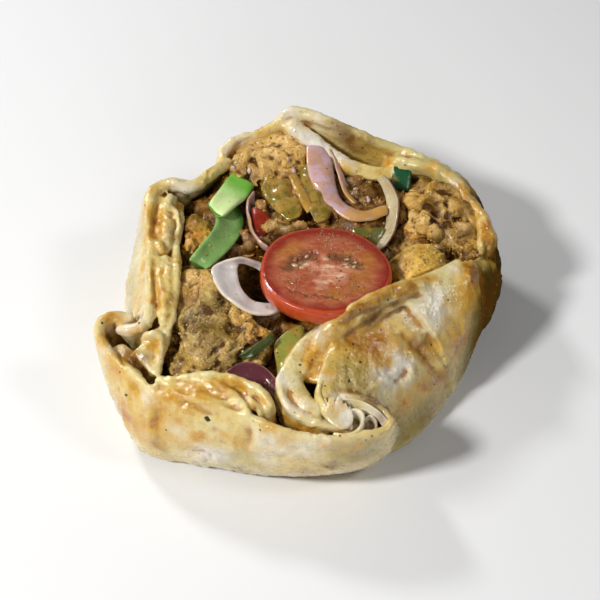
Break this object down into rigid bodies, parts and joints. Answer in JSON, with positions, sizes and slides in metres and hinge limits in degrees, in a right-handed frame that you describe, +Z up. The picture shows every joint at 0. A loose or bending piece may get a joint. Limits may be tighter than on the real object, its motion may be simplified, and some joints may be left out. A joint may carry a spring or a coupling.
{
  "type": "kizhi parotta",
  "caption": "Layered flatbread gathered into an open pouch around chicken masala, with a tomato slice, onion rings and green capsicum strips on top.",
  "frame": {"origin": "on the surface that the pouch stands on, under the middle of the round of dough at its base", "axes": "+Z up, +Y to the back wall with the highest curl, +X to the right, seen from the pictured side"},
  "size_m": [0.1751, 0.1758, 0.0613],
  "materials": {
    "parotta": "soft pale layered dough, stained orange by the masala, glossy with oil",
    "masala": "thick crumbly orange-brown masala, moist",
    "chicken": "rough cooked chicken coated in masala, moist",
    "chicken_pale": "smooth yellow cooked chicken, moist",
    "tomato": "wet red flesh and glossy skin",
    "onion_white": "translucent white onion, glossy",
    "onion_pink": "translucent pink onion, glossy",
    "onion_purple": "purple onion skin side, glossy",
    "capsicum_light": "bright pale green flesh, moist",
    "capsicum_dark": "dark green skin, glossy",
    "capsicum_cooked": "soft cooked olive green, oily",
    "chilli": "dark green, glossy"
  },
  "bodies": {
    "root": {"parotta": "parotta", "masala": "masala", "chicken_left": "chicken", "chicken_small": "chicken", "chicken_round": "chicken_pale", "chicken_right": "chicken", "chicken_back": "chicken", "tomato_slice": "tomato", "tomato_piece": "tomato", "onion_ring": "onion_white", "onion_band": "onion_pink", "onion_arc_right": "onion_white", "onion_arc_left": "onion_white", "onion_front": "onion_purple", "capsicum_light": "capsicum_light", "capsicum_dark": "capsicum_dark", "capsicum_back": "capsicum_dark", "capsicum_cooked_middle": "capsicum_cooked", "capsicum_cooked_left": "capsicum_cooked", "capsicum_cooked_right": "capsicum_cooked", "capsicum_front": "capsicum_cooked", "chilli_front": "chilli"}
  },
  "joints": []
}
